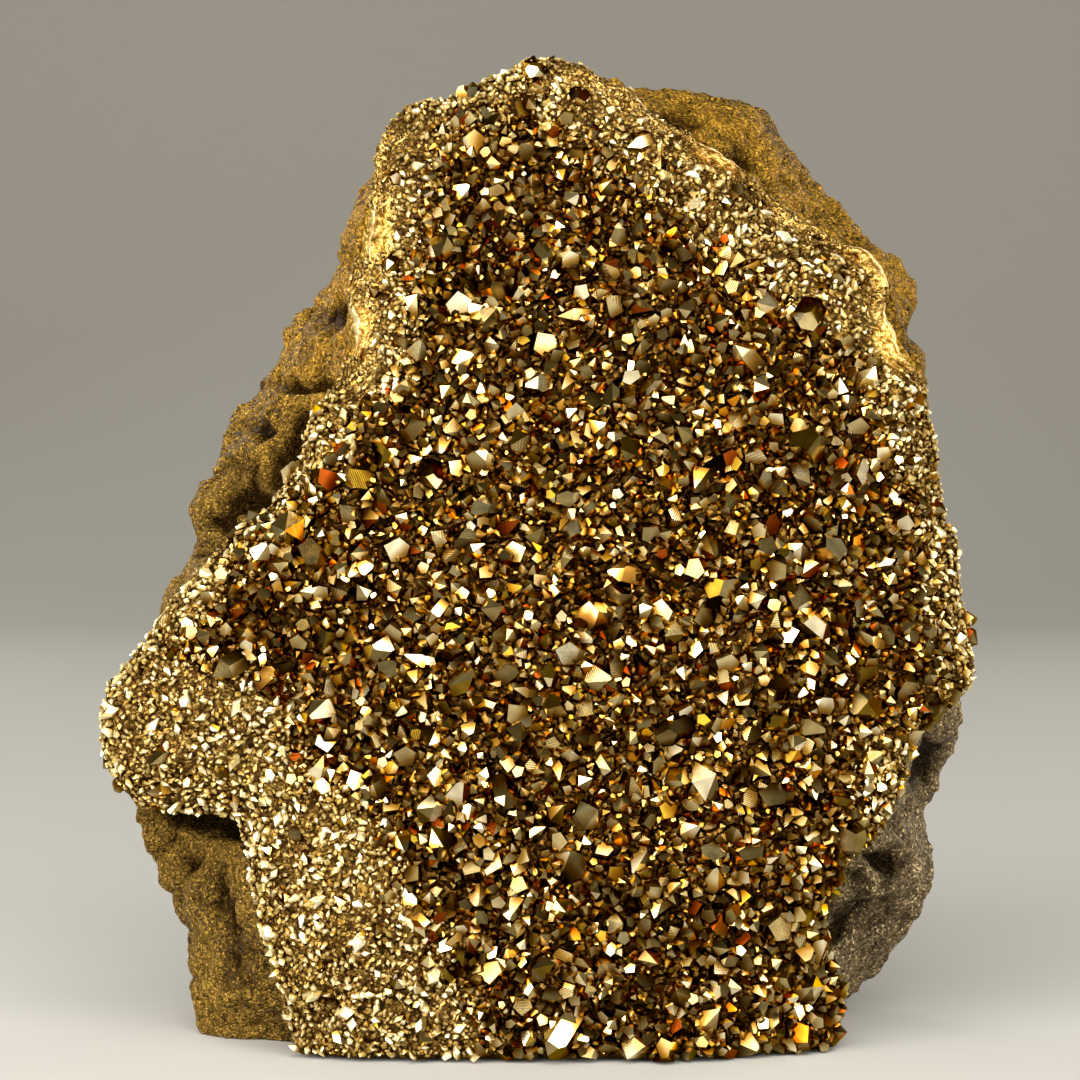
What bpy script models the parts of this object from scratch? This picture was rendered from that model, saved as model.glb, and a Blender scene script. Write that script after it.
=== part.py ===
"""Gold aura amethyst druzy: a piece of geode wall that stands on its sawn base.

Four solids that grew on one another: the basalt rind, the crust of amethyst points on its
front, and the two pale lips of chalcedony that show between them along the edge.
Metres, +Z up, the crystal face looks towards -Y, the origin is the middle of the base.
Everything above the line "MM" is in millimetres and degrees.
"""

import math
import random

import bmesh
import bpy
from mathutils import Vector, noise
from mathutils.geometry import delaunay_2d_cdt

# Driving dimensions.
HEIGHT = 150.0
FACE_LEAN_DEG = 6.0
CRUST_THICK = 7.0
CRUST_ROLL = 3.6
GAP = 0.7
BASE_CLEARANCE = 0.4
BACK_DEPTH_BASE = 58.0
BACK_DEPTH_BELLY = 66.0
BACK_DEPTH_TOP = 38.0
BELLY_HEIGHT = 45.0

# The hub is the point of the face that every outline is seen from.
HUB = (0.0, 70.0)

# Edge of the crystal crust, seen from the front, (x, z), clockwise from the top.
CRUST_EDGE = [
    (3.5, 151), (8, 148.5), (15, 143), (24, 138), (30, 134), (33.5, 129), (40, 125.5),
    (44.5, 122.5), (50, 121), (52, 117.5), (51.5, 114), (54, 108.5), (58, 103), (59.5, 92),
    (61.5, 82.5), (63.5, 73.5), (65, 64.5), (66.5, 58), (66, 54.5), (61, 53), (57, 49.5),
    (55.5, 44), (53.5, 37), (47.5, 31), (43.5, 26), (42.5, 17), (43, 12.5), (46, 7.5),
    (44, 0), (42.5, -6), (-33.5, -6), (-36, 2), (-38.5, 12), (-41, 22), (-43, 31),
    (-44.5, 37.5), (-54, 37), (-61.5, 39.5), (-65, 45), (-65.5, 52), (-61, 59),
    (-54.5, 68.5), (-44, 79.5), (-39.5, 82), (-36, 88.5), (-33.5, 97), (-29.5, 101.5),
    (-28, 106), (-29, 112), (-27, 120), (-25, 129), (-23.5, 137), (-22.5, 142.5),
    (-12, 144.5), (-6.5, 147.5), (-2.5, 150),
]

# Widest outline of the basalt, seen from the front, (x, z), clockwise from the top.
ROCK_EDGE = [
    (3.5, 151), (9, 152.5), (16, 150.5), (22, 148.5), (27, 147.5), (31, 147.5), (36, 144),
    (41, 136.5), (49, 127.5), (55, 120.5), (58.5, 113.5), (60.5, 104), (61.5, 92),
    (62.5, 82), (63.5, 73), (64.5, 64), (66, 57), (67.5, 49), (67, 39.5), (62.5, 30),
    (61.5, 23), (60.5, 14.5), (56, 7), (51, 0), (47, -6), (38, -12), (20, -12),
    (-34, -12), (-50, -10), (-52.5, -5), (-53, 3), (-55, 11), (-57, 19), (-60.5, 26.5),
    (-63.5, 33), (-63.5, 41), (-61, 47), (-60.5, 54), (-59, 63), (-57.5, 70.5),
    (-55.5, 78), (-53.5, 86), (-51.5, 94), (-47, 100), (-41.5, 107), (-38.5, 114),
    (-31, 122), (-27, 129), (-25, 137), (-22, 142), (-12.5, 144), (-5, 147),
]

# How far behind the crust's edge the basalt is widest, (direction, depth).
WIDEST_DEPTH = [
    (-180, 15), (-160, 12), (-142, 24), (-128, 17), (-118, 22), (-90, 34), (-60, 32), (-40, 30),
    (-22, 24), (-10, 14), (10, 12), (30, 14), (45, 19), (60, 22), (80, 20), (100, 12),
    (112, 14), (130, 26), (150, 30), (165, 24),
]

# Swells (+) and hollows (-) of the crystal face: (x, z, reach, height).
FACE_RELIEF = {
    "belly": (6, 44, 84, 5.0),
    "top hollow": (5, 124, 28, -4.5),
    "left shoulder": (-15, 127, 24, 2.0),
    "left knob": (-54, 53, 24, 3.0),
    "lower left mound": (-26, 20, 30, 3.5),
    "middle dip": (-18, 78, 40, -2.0),
    "right turn": (68, 76, 40, -6.0),
    "upper right slope": (42, 122, 30, -4.5),
    "right swell": (36, 88, 34, 2.0),
    "lower right corner": (50, 8, 34, -8.0),
    "lower left corner": (-42, 0, 20, -4.0),
}

# Hollows (-) and lumps (+) of the basalt's flanks and back: (x, y, z, reach, height).
ROCK_RELIEF = {
    "left flank hollow": (-44, 26, 80, 19, -3.5),
    "left flank shelf": (-50, 28, 97, 13, 2.4),
    "left upper lump": (-36, 26, 116, 15, 1.5),
    "left brow hollow": (-32, 20, 128, 9, -1.2),
    "left foot lump": (-54, 30, 24, 17, 1.8),
    "left foot hollow": (-52, 18, 8, 12, -1.8),
    "crown knob": (31, 34, 147, 13, 2.4),
    "right brow hollow": (46, 30, 130, 11, -1.8),
    "right brow lump": (58, 30, 116, 10, 1.4),
    "right flank hollow": (62, 26, 38, 14, -1.2),
    "right foot lump": (57, 32, 20, 12, 2.4),
    "back belly": (12, 66, 46, 40, 4.0),
    "back left hollow": (-30, 58, 72, 28, -5.5),
    "back upper lump": (6, 48, 112, 24, 4.5),
    "back right ledge": (42, 54, 82, 22, 4.0),
    "back foot hollow": (16, 62, 12, 24, -4.5),
    "back left ledge": (-44, 48, 34, 18, 3.0),
}

# Under the knob the basalt stays back from the crust's edge: direction, half width, depth.
KNOB_UNDERCUT = (-149.0, 12.0, 8.0)

# Chalcedony lips: first and last direction, widest width.
LIPS = {
    "chalcedony_lip_right": (33.0, 79.0, 3.2),
    "chalcedony_lip_left": (109.0, 133.0, 2.4),
}
LIP_END_WIDTH = 1.1
LIP_STEP_DEG = 3.0
LIP_CLEAR = 1.1
LIP_PROUD = 3.0

# Amethyst points. A quartz pyramid face stands 51.8 degrees off the base plane.
PYRAMID_DEG = 51.8
POINT_RADIUS_COARSE = (1.7, 3.9)
POINT_RADIUS_FINE = (1.35, 2.1)
FINE_MARGIN = 13.0
POINT_TILT_DEG = 24.0
POINT_TRIES = 26000
SEED = 11

# Mesh spacing: directions of the crust's edge and the basalt, grid of the parting surface.
EDGE_DIRECTIONS = 100
ROCK_DIRECTIONS = 96
PARTING_GRID = 7.5
ROCK_VOXEL = 2.2
ROCK_TRIANGLES = 2500

MM = 0.001


def polar_radius(outline, angle):
    """Distance from the hub to a closed outline, along the direction of this angle."""
    ahead = Vector((math.cos(angle), math.sin(angle)))
    best = 0.0
    for (x0, z0), (x1, z1) in zip(outline, outline[1:] + outline[:1]):
        start = Vector((x0 - HUB[0], z0 - HUB[1]))
        run = Vector((x1 - x0, z1 - z0))
        cross = ahead.x * run.y - ahead.y * run.x
        if abs(cross) < 1e-9:
            continue
        along = (start.x * run.y - start.y * run.x) / cross
        share = (start.x * ahead.y - start.y * ahead.x) / cross
        if -1e-6 <= share <= 1 + 1e-6 and along > best:
            best = along
    return best


def ease(share):
    """0 to 1 with flat ends."""
    share = min(1.0, max(0.0, share))
    return share * share * (3 - 2 * share)


def hump(distance, reach):
    """1 in the middle, 0 from its reach on."""
    return ease(1 - distance / reach)


def by_direction(table, angle):
    """Value at this angle of a table of (degrees, value) that wraps round."""
    degrees = (math.degrees(angle) + 180) % 360 - 180
    wrapped = table + [(table[0][0] + 360, table[0][1])]
    for (a0, v0), (a1, v1) in zip(wrapped, wrapped[1:]):
        if a0 <= degrees <= a1:
            return v0 + (v1 - v0) * ease((degrees - a0) / (a1 - a0))
    return wrapped[0][1]


def at(angle, radius):
    """(x, z) at this distance from the hub."""
    return HUB[0] + radius * math.cos(angle), HUB[1] + radius * math.sin(angle)


def directions(count):
    return [math.tau * i / count for i in range(count)]


def angle_gap(angle, degrees):
    """Degrees between a direction and this angle."""
    return abs((math.degrees(angle) - degrees + 180) % 360 - 180)


def face_depth(x, z):
    """Y of the crystal face, before its points."""
    depth = z * math.tan(math.radians(FACE_LEAN_DEG))
    for cx, cz, reach, height in FACE_RELIEF.values():
        depth -= height * hump(math.hypot(x - cx, z - cz), reach)
    return depth


def parting_depth(x, z):
    """Y of the surface where the basalt ends and the crust begins."""
    return face_depth(x, z) + CRUST_THICK


def back_depth(z):
    """Y of the rind's back at this height."""
    if z < BELLY_HEIGHT:
        share = ease(z / BELLY_HEIGHT)
        return BACK_DEPTH_BASE + (BACK_DEPTH_BELLY - BACK_DEPTH_BASE) * share
    share = ease((z - BELLY_HEIGHT) / (HEIGHT - BELLY_HEIGHT))
    return BACK_DEPTH_BELLY + (BACK_DEPTH_TOP - BACK_DEPTH_BELLY) * share


def lip_width(angle):
    """Width of chalcedony in this direction, 0 where there is none."""
    for first, last, widest in LIPS.values():
        middle, half = (first + last) / 2, (last - first) / 2
        off = angle_gap(angle, middle)
        if off <= half:
            wavy = 0.72 + 0.6 * noise.noise(Vector((math.degrees(angle) / 6, widest, 0)))
            fade = ease((half - off) / 5)
            return LIP_END_WIDTH + (widest - LIP_END_WIDTH) * max(0.0, wavy) * fade
    return 0.0


def undercut(angle):
    """How far the basalt stays inside the crust's edge in this direction."""
    middle, half, depth = KNOB_UNDERCUT
    return depth * hump(angle_gap(angle, middle), half)


def new_object(name, mesh, colour, roughness, metallic):
    obj = bpy.data.objects.new(name, mesh)
    bpy.context.scene.collection.objects.link(obj)
    material = bpy.data.materials.new(name)
    material.use_nodes = True
    shader = material.node_tree.nodes["Principled BSDF"]
    shader.inputs["Base Color"].default_value = (*colour, 1)
    shader.inputs["Roughness"].default_value = roughness
    shader.inputs["Metallic"].default_value = metallic
    mesh.materials.append(material)
    return obj


def helper(name, mesh):
    """An object that only cuts."""
    obj = bpy.data.objects.new(name, mesh)
    bpy.context.scene.collection.objects.link(obj)
    obj.hide_render = True
    obj.display_type = "WIRE"
    return obj


def cut_by(obj, cutter):
    modifier = obj.modifiers.new(f"cut by {cutter.name}", "BOOLEAN")
    modifier.operation = "DIFFERENCE"
    modifier.object = cutter
    modifier.solver = "EXACT"


def to_mesh(name, working):
    bmesh.ops.recalc_face_normals(working, faces=working.faces)
    mesh = bpy.data.meshes.new(name)
    working.to_mesh(mesh)
    working.free()
    return mesh


def join_rings(mesh, near, far):
    """Triangles between two rings of as many vertices."""
    count = len(near)
    for i in range(count):
        j = (i + 1) % count
        mesh.faces.new((near[i], near[j], far[j]))
        mesh.faces.new((near[i], far[j], far[i]))


def patch(mesh, outline, spots, edges, place, rim):
    """Fills an outline in the plane with triangles and adds them at place(spot number, x, z).

    The first vertices are the outline's own, given by the ring of vertices rim.
    """
    points = outline + spots
    loop = [(i, (i + 1) % len(outline)) for i in range(len(outline))]
    links = loop + [(a + len(outline), b + len(outline)) for a, b in edges]
    flat = [Vector(p) for p in points]
    found, _, faces, origins, _, _ = delaunay_2d_cdt(flat, links, [list(range(len(outline)))], 1, 1e-5)
    verts = []
    for spot, sources in zip(found, origins):
        number = sources[0] if sources else None
        if number is not None and number < len(outline):
            verts.append(rim[number])
            continue
        index = None if number is None else number - len(outline)
        verts.append(mesh.verts.new(place(index, spot.x, spot.y) * MM))
    for face in faces:
        mesh.faces.new([verts[i] for i in face])


def grid_spots(outline_radius, clearance):
    """A triangular grid inside an outline that is given by its radius per direction."""
    spots = []
    rows = range(-12, 13)
    for row in rows:
        for column in rows:
            x = PARTING_GRID * (column + 0.5 * (row % 2))
            z = HUB[1] + PARTING_GRID * row * math.sqrt(0.75)
            angle = math.atan2(z - HUB[1], x - HUB[0])
            if math.hypot(x - HUB[0], z - HUB[1]) < outline_radius(angle) - clearance:
                spots.append((x, z))
    return spots


# The basalt rind.


def rock_rings():
    """Rings from in front of the parting surface round the flanks to the back."""
    rings = {k: [] for k in ("fore", "neck", "shoulder", "flank", "wide", "b1", "b2", "b3", "b4")}
    for angle in directions(ROCK_DIRECTIONS):
        edge = polar_radius(CRUST_EDGE, angle)
        wide = polar_radius(ROCK_EDGE, angle)
        start = parting_depth(*at(angle, edge))
        widest = start + by_direction(WIDEST_DEPTH, angle)
        tuck = undercut(angle)
        lip = lip_width(angle)
        shoulder = edge - 0.4 + lip - tuck
        if lip:
            shoulder += LIP_CLEAR

        def put(name, radius, y):
            x, z = at(angle, radius)
            rings[name].append(Vector((x, y, z)))

        put("fore", 0.55 * edge, parting_depth(*at(angle, 0.55 * edge)) - 4)
        put("neck", shoulder - 1.5, start - 4)
        put("shoulder", shoulder, start)
        put("flank", (shoulder + wide) / 2 + 0.12 * (wide - edge) - 0.5 * tuck, start + 0.5 * (widest - start))
        put("wide", wide, widest)
        for name, scale, share in (("b1", 0.95, 0.42), ("b2", 0.8, 0.76), ("b3", 0.58, 0.93), ("b4", 0.3, 1.0)):
            far = back_depth(max(0.0, at(angle, wide * scale)[1]))
            put(name, wide * scale, widest + (far - widest) * share)
    return list(rings.values())


def rock_noise(point):
    """Lumps, chips and broken ledges of the basalt."""
    lumps = 1.8 * noise.noise(point / 19)
    chips = 1.2 * noise.noise(point / 9 + Vector((9, 2, 5)))
    ledge = noise.noise(Vector((point.x / 28, point.y / 28, point.z / 10)) + Vector((3, 7, 1)))
    return lumps + chips + 1.0 * math.tanh(5 * ledge)


def rock_relief(point):
    """The hand-placed hollows and lumps."""
    total = 0.0
    for cx, cy, cz, reach, height in ROCK_RELIEF.values():
        total += height * hump((point - Vector((cx, cy, cz))).length, reach)
    return total


def rock_blob():
    """The rind before it is cut at the base and at the crust: an evenly meshed, rough lump."""
    rings = rock_rings()
    mesh = bmesh.new()
    loops = [[mesh.verts.new(p * MM) for p in ring] for ring in rings]
    for near, far in zip(loops, loops[1:]):
        join_rings(mesh, near, far)
    front = Vector((HUB[0], parting_depth(*HUB) - 4, HUB[1]))
    back = Vector((HUB[0], back_depth(HUB[1]) + 1, HUB[1]))
    for tip, loop in ((front, loops[0]), (back, loops[-1])):
        point = mesh.verts.new(tip * MM)
        for i, vert in enumerate(loop):
            mesh.faces.new((point, vert, loop[(i + 1) % len(loop)]))
    blob = helper("rind_blob", to_mesh("rind_blob", mesh))
    remesh = blob.modifiers.new("even mesh", "REMESH")
    remesh.mode = "VOXEL"
    remesh.voxel_size = ROCK_VOXEL * MM
    bpy.context.view_layer.update()
    graph = bpy.context.evaluated_depsgraph_get()
    even = bpy.data.meshes.new_from_object(blob.evaluated_get(graph))
    bpy.data.objects.remove(blob)
    rough = bmesh.new()
    rough.from_mesh(even)
    rough.normal_update()
    moves = []
    for vert in rough.verts:
        point = vert.co / MM
        moves.append((vert, vert.normal * (rock_noise(point) + rock_relief(point)) * MM))
    for vert, move in moves:
        vert.co += move
    return to_mesh("basalt_rind", rough)


def box(low, high):
    mesh = bmesh.new()
    bmesh.ops.create_cube(mesh, size=1)
    for vert in mesh.verts:
        for k in range(3):
            vert.co[k] = (low[k] if vert.co[k] < 0 else high[k]) * MM
    return mesh


def crust_side():
    """The space in front of the parting surface, as a solid."""

    def reach(angle):
        return polar_radius(CRUST_EDGE, angle) + 16

    mesh = bmesh.new()
    outline = [at(a, reach(a)) for a in directions(EDGE_DIRECTIONS // 2)]
    back = [mesh.verts.new(Vector((x, parting_depth(x, z), z)) * MM) for x, z in outline]
    fore = [mesh.verts.new(Vector((x, -40, z)) * MM) for x, z in outline]
    join_rings(mesh, fore, back)
    patch(mesh, outline, grid_spots(reach, 7), [], lambda _, x, z: Vector((x, parting_depth(x, z), z)), back)
    mesh.faces.new(fore)
    return to_mesh("crust_side", mesh)


def make_rock():
    blob = rock_blob()
    count = sum(len(face.vertices) - 2 for face in blob.polygons)
    rock = new_object("basalt_rind", blob, (0.33, 0.25, 0.12), 0.75, 0.35)
    fewer = rock.modifiers.new("fewer faces", "DECIMATE")
    fewer.ratio = ROCK_TRIANGLES / count
    cut_by(rock, helper("under_base", to_mesh("under_base", box((-100, -50, -60), (100, 120, 0)))))
    cut_by(rock, helper("crust_side", crust_side()))
    return rock


# The chalcedony lips.


def make_lip(name, first, last):
    """One lip: a band with a rounded front that stands on the basalt beside the crust."""
    steps = round((last - first) / LIP_STEP_DEG)
    mesh = bmesh.new()
    sections = []
    for i in range(steps + 1):
        angle = math.radians(first + (last - first) * i / steps)
        inner = polar_radius(CRUST_EDGE, angle) + LIP_CLEAR
        outer = inner + lip_width(angle)
        back = parting_depth(*at(angle, (inner + outer) / 2)) - GAP
        proud = LIP_PROUD * (0.85 + 0.5 * noise.noise(Vector((4 * angle, 5, 1))))
        third = (outer - inner) / 3
        profile = [
            (inner, back), (inner, back - 0.8 * proud), (inner + third, back - proud),
            (outer - third, back - 0.85 * proud), (outer, back - 0.45 * proud), (outer, back),
        ]
        sections.append([])
        for radius, y in profile:
            x, z = at(angle, radius)
            sections[-1].append(mesh.verts.new(Vector((x, y, z)) * MM))
    for near, far in zip(sections, sections[1:]):
        join_rings(mesh, near, far)
    mesh.faces.new(sections[0])
    mesh.faces.new(sections[-1])
    return new_object(name, to_mesh(name, mesh), (0.85, 0.66, 0.36), 0.4, 0.6)


# The amethyst crust.


def crust_reach(angle):
    """Distance from the hub to the crust's edge when its rolled margin is laid out flat."""
    return polar_radius(CRUST_EDGE, angle) + CRUST_ROLL * (math.pi / 2 - 1)


def crust_place(x, z):
    """Place on the crust's front of a spot of the flattened outline."""
    angle = math.atan2(z - HUB[1], x - HUB[0])
    radius = math.hypot(x - HUB[0], z - HUB[1])
    flat = polar_radius(CRUST_EDGE, angle) - CRUST_ROLL
    sunk = 0.0
    if radius > flat:
        turn = min((radius - flat) / CRUST_ROLL, math.pi / 2)
        radius = flat + CRUST_ROLL * math.sin(turn)
        sunk = CRUST_ROLL * (1 - math.cos(turn))
    px, pz = at(angle, radius)
    return Vector((px, face_depth(px, pz) + sunk, pz))


def crust_normal(x, z):
    """Outward normal of the crust's front there."""
    along_x = crust_place(x + 0.4, z) - crust_place(x - 0.4, z)
    along_z = crust_place(x, z + 0.4) - crust_place(x, z - 0.4)
    return along_x.cross(along_z).normalized()


def outline_gap(spot, outline):
    """Distance from a spot to the nearest side of a closed outline."""
    best = math.inf
    for a, b in zip(outline, outline[1:] + outline[:1]):
        start, run = Vector(a), Vector(b) - Vector(a)
        share = min(1.0, max(0.0, (spot - start).dot(run) / run.length_squared))
        best = min(best, (spot - start - run * share).length)
    return best


def point_spots(outline, chance):
    """(spot, radius) of points that stand side by side, the widest placed first."""
    found = []
    for k in range(POINT_TRIES):
        x, z = chance.uniform(-68, 68), chance.uniform(-5, 152)
        angle = math.atan2(z - HUB[1], x - HUB[0])
        inside = crust_reach(angle) - math.hypot(x - HUB[0], z - HUB[1])
        if inside < POINT_RADIUS_FINE[0]:
            continue
        coarse = ease((inside - 3) / FINE_MARGIN)
        narrow = POINT_RADIUS_FINE[0] + (POINT_RADIUS_COARSE[0] - POINT_RADIUS_FINE[0]) * coarse
        wide = POINT_RADIUS_FINE[1] + (POINT_RADIUS_COARSE[1] - POINT_RADIUS_FINE[1]) * coarse
        radius = narrow + (wide - narrow) * (1 - k / POINT_TRIES) ** 2 * chance.uniform(0.6, 1)
        spot = Vector((x, z))
        if any((spot - other).length < radius + taken for other, taken in found):
            continue
        if outline_gap(spot, outline) < radius + (1.6 if lip_width(angle) else 0.2):
            continue
        found.append((spot, radius))
    return found


def point_corners(spot, radius, chance):
    """Six foot corners and the tip of one point, as (spot on the outline's plane, height)."""
    rise = radius * math.cos(math.radians(30)) * math.tan(math.radians(PYRAMID_DEG))
    tilt = math.radians(POINT_TILT_DEG) * math.sqrt(chance.random())
    towards = chance.uniform(0, math.tau)
    spin = chance.uniform(0, math.tau)
    lift = chance.uniform(-0.5, 0.7)
    corners = []
    for k in range(6):
        angle = spin + math.tau * k / 6
        corner = spot + Vector((math.cos(angle), math.sin(angle))) * radius * 0.99
        corners.append((corner, lift + radius * math.tan(tilt) * math.cos(angle - towards)))
    lean = Vector((math.cos(towards), math.sin(towards))) * rise * math.sin(tilt)
    corners.append((spot - lean, lift + rise * math.cos(tilt)))
    return corners


def make_crust():
    chance = random.Random(SEED)
    mesh = bmesh.new()
    count = EDGE_DIRECTIONS
    outline = [at(a, crust_reach(a)) for a in directions(count)]
    rim = [mesh.verts.new(crust_place(x, z) * MM) for x, z in outline]
    spots, links, places = [], [], []
    for spot, radius in point_spots(outline, chance):
        normal = crust_normal(spot.x, spot.y)
        first = len(spots)
        for corner, height in point_corners(spot, radius, chance):
            spots.append((corner.x, corner.y))
            places.append(crust_place(corner.x, corner.y) + normal * height)
        for k in range(6):
            links.append((first + k, first + (k + 1) % 6))
            links.append((first + k, first + 6))
    patch(mesh, outline, spots, links, lambda i, x, z: places[i] if i is not None else crust_place(x, z), rim)
    inner = [at(a, polar_radius(CRUST_EDGE, a) - 0.5) for a in directions(count)]
    back = [mesh.verts.new(Vector((x, parting_depth(x, z) - GAP, z)) * MM) for x, z in inner]
    join_rings(mesh, rim, back)
    grid = grid_spots(lambda a: polar_radius(CRUST_EDGE, a), 6)
    patch(mesh, inner, grid, [], lambda _, x, z: Vector((x, parting_depth(x, z) - GAP, z)), back)
    crust = new_object("amethyst_crust", to_mesh("amethyst_crust", mesh), (0.55, 0.38, 0.12), 0.2, 0.9)
    sawn_off = to_mesh("under_crust", box((-100, -50, -60), (100, 120, BASE_CLEARANCE)))
    cut_by(crust, helper("under_crust", sawn_off))
    return crust


def centre_on_base(pieces):
    """Moves everything so that the origin is the middle of the whole object's base."""
    bpy.context.view_layer.update()
    graph = bpy.context.evaluated_depsgraph_get()
    corners = []
    for piece in pieces:
        mesh = piece.evaluated_get(graph).to_mesh()
        corners += [v.co.copy() for v in mesh.vertices]
    low = Vector([min(c[k] for c in corners) for k in range(3)])
    high = Vector([max(c[k] for c in corners) for k in range(3)])
    for obj in bpy.data.objects:
        obj.location = (-(low.x + high.x) / 2, -(low.y + high.y) / 2, -low.z)


def main():
    for obj in list(bpy.data.objects):
        bpy.data.objects.remove(obj)
    lips = [make_lip(name, first, last) for name, (first, last, _) in LIPS.items()]
    centre_on_base([make_rock(), make_crust(), *lips])


main()
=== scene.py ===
"""Gold aura amethyst druzy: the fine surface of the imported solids, one floor, soft light.

Metres, +Z up, the crystal face looks towards -Y. Sizes named in MM are in millimetres.
"""

import math

import bmesh
import bpy
import numpy as np
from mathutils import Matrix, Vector, noise
from mathutils.bvhtree import BVHTree


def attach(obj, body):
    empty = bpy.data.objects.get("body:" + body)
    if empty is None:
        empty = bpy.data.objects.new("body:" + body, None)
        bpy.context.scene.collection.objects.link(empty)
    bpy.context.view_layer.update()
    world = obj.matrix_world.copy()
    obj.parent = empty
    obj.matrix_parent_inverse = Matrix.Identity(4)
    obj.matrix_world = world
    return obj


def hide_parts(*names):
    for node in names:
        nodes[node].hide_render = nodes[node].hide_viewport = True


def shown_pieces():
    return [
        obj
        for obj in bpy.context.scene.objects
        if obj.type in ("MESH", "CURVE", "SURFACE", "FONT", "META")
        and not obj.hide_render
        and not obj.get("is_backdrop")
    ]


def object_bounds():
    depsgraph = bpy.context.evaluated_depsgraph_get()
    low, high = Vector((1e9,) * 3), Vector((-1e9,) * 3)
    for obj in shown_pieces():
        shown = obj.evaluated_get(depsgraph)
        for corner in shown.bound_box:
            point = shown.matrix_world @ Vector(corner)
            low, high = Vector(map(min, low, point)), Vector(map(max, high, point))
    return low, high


MM = 0.001

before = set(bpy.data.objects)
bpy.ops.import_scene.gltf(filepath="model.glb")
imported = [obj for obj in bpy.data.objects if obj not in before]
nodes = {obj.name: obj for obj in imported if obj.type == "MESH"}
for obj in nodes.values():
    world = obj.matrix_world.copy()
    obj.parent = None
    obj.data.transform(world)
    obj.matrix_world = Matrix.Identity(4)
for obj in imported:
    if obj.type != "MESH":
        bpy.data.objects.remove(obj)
cad_low, cad_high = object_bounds()

# A quartz pyramid face stands this far off the base plane.
PYRAMID_DEG = 51.8

# Where the druse is fine: (x, z) of a line's two ends and its half width.
FINE_BANDS_MM = {
    "upper right brow": ((6, 147), (30, 132), 5.5),
    "right brow": ((30, 131), (53, 113), 6.5),
    "right shoulder": ((53, 114), (62, 88), 4.5),
    "right edge": ((63, 88), (67, 58), 3.5),
    "lower right edge": ((53, 46), (51, 40), 1),
    "crown": ((-20, 143), (0, 149), 1.5),
    "left edge": ((-22, 138), (-28, 104), 3.5),
    "left middle edge": ((-31, 100), (-42, 84), 2),
    "upper knob edge": ((-48, 79), (-64, 58), 2.5),
    "knob": ((-63, 52), (-48, 45), 10),
    "under knob": ((-46, 40), (-40, 30), 7),
    "lower left lobe": ((-37, 28), (-27, 8), 12),
    "lower left foot": ((-30, 10), (-18, 3), 7),
}
BAND_FADE_MM = 6.0

# Where larger points crowd together: (x, z, reach).
CLUSTERS_MM = [
    (-6, 60, 16), (20, 40, 18), (10, 96, 14), (34, 66, 14), (-20, 34, 10), (-12, 128, 9),
    (46, 92, 9), (28, 18, 12),
]


# Small helpers.


def deselect():
    if bpy.context.object and bpy.context.object.mode != "OBJECT":
        bpy.ops.object.mode_set(mode="OBJECT")
    bpy.ops.object.select_all(action="DESELECT")


def choose(obj):
    deselect()
    obj.select_set(True)
    bpy.context.view_layer.objects.active = obj


def apply_modifiers(obj):
    choose(obj)
    for modifier in list(obj.modifiers):
        bpy.ops.object.modifier_apply(modifier=modifier.name)


def copy_of_node(node, name):
    """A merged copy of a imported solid, to be shaped further."""
    mesh = nodes[node].data.copy()
    mesh.name = name
    mesh.materials.clear()
    obj = bpy.data.objects.new(name, mesh)
    bpy.context.scene.collection.objects.link(obj)
    choose(obj)
    bpy.ops.object.mode_set(mode="EDIT")
    bpy.ops.mesh.select_all(action="SELECT")
    bpy.ops.mesh.remove_doubles(threshold=0.000001)
    bpy.ops.object.mode_set(mode="OBJECT")
    return obj


def reshape(obj, move):
    """Gives each vertex the place that move(place, normal) returns."""
    mesh = obj.data
    pairs = [(v.co.copy(), v.normal.copy()) for v in mesh.vertices]
    places = np.array([move(place, normal) for place, normal in pairs])
    mesh.vertices.foreach_set("co", places.reshape(-1))
    mesh.update()


def ease(share):
    share = np.clip(share, 0, 1)
    return share * share * (3 - 2 * share)


def line_distance(x, z, start, end):
    """Distance in the front view from each (x, z) to a straight line between two points."""
    ax, az = start
    dx, dz = end[0] - ax, end[1] - az
    share = np.clip(((x - ax) * dx + (z - az) * dz) / (dx * dx + dz * dz), 0, 1)
    return np.hypot(x - ax - share * dx, z - az - share * dz)


def fineness(places):
    """1 where the druse is fine, 0 where its points are coarse, for each place in metres."""
    x, z = places[:, 0] / MM, places[:, 2] / MM
    fine = np.zeros(len(places))
    for start, end, width in FINE_BANDS_MM.values():
        gap = line_distance(x, z, start, end) - width
        fine = np.maximum(fine, ease(1 - gap / BAND_FADE_MM))
    return fine


# Materials.


def new_material(name):
    material = bpy.data.materials.new(name)
    material.use_nodes = True
    tree = material.node_tree
    return material, tree, tree.nodes["Principled BSDF"]


def add(tree, kind, **inputs):
    """A node of this kind with its unlinked inputs set."""
    node = tree.nodes.new(kind)
    for key, value in inputs.items():
        node.inputs[key].default_value = value
    return node


def ramp(tree, source, stops, interpolation="LINEAR"):
    node = tree.nodes.new("ShaderNodeValToRGB")
    node.color_ramp.interpolation = interpolation
    elements = node.color_ramp.elements
    for i, (place, colour) in enumerate(stops):
        element = elements[i] if i < 2 else elements.new(place)
        element.position = place
        element.color = (*colour, 1)
    tree.links.new(source, node.inputs["Fac"])
    return node.outputs["Color"]


def mix_colour(tree, share, first, second, blend="MIX"):
    node = tree.nodes.new("ShaderNodeMix")
    node.data_type = "RGBA"
    node.blend_type = blend
    for socket, value in ((node.inputs[0], share), (node.inputs[6], first), (node.inputs[7], second)):
        if isinstance(value, bpy.types.NodeSocket):
            tree.links.new(value, socket)
        elif isinstance(value, tuple):
            socket.default_value = (*value, 1)
        else:
            socket.default_value = value
    return node.outputs[2]


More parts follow.
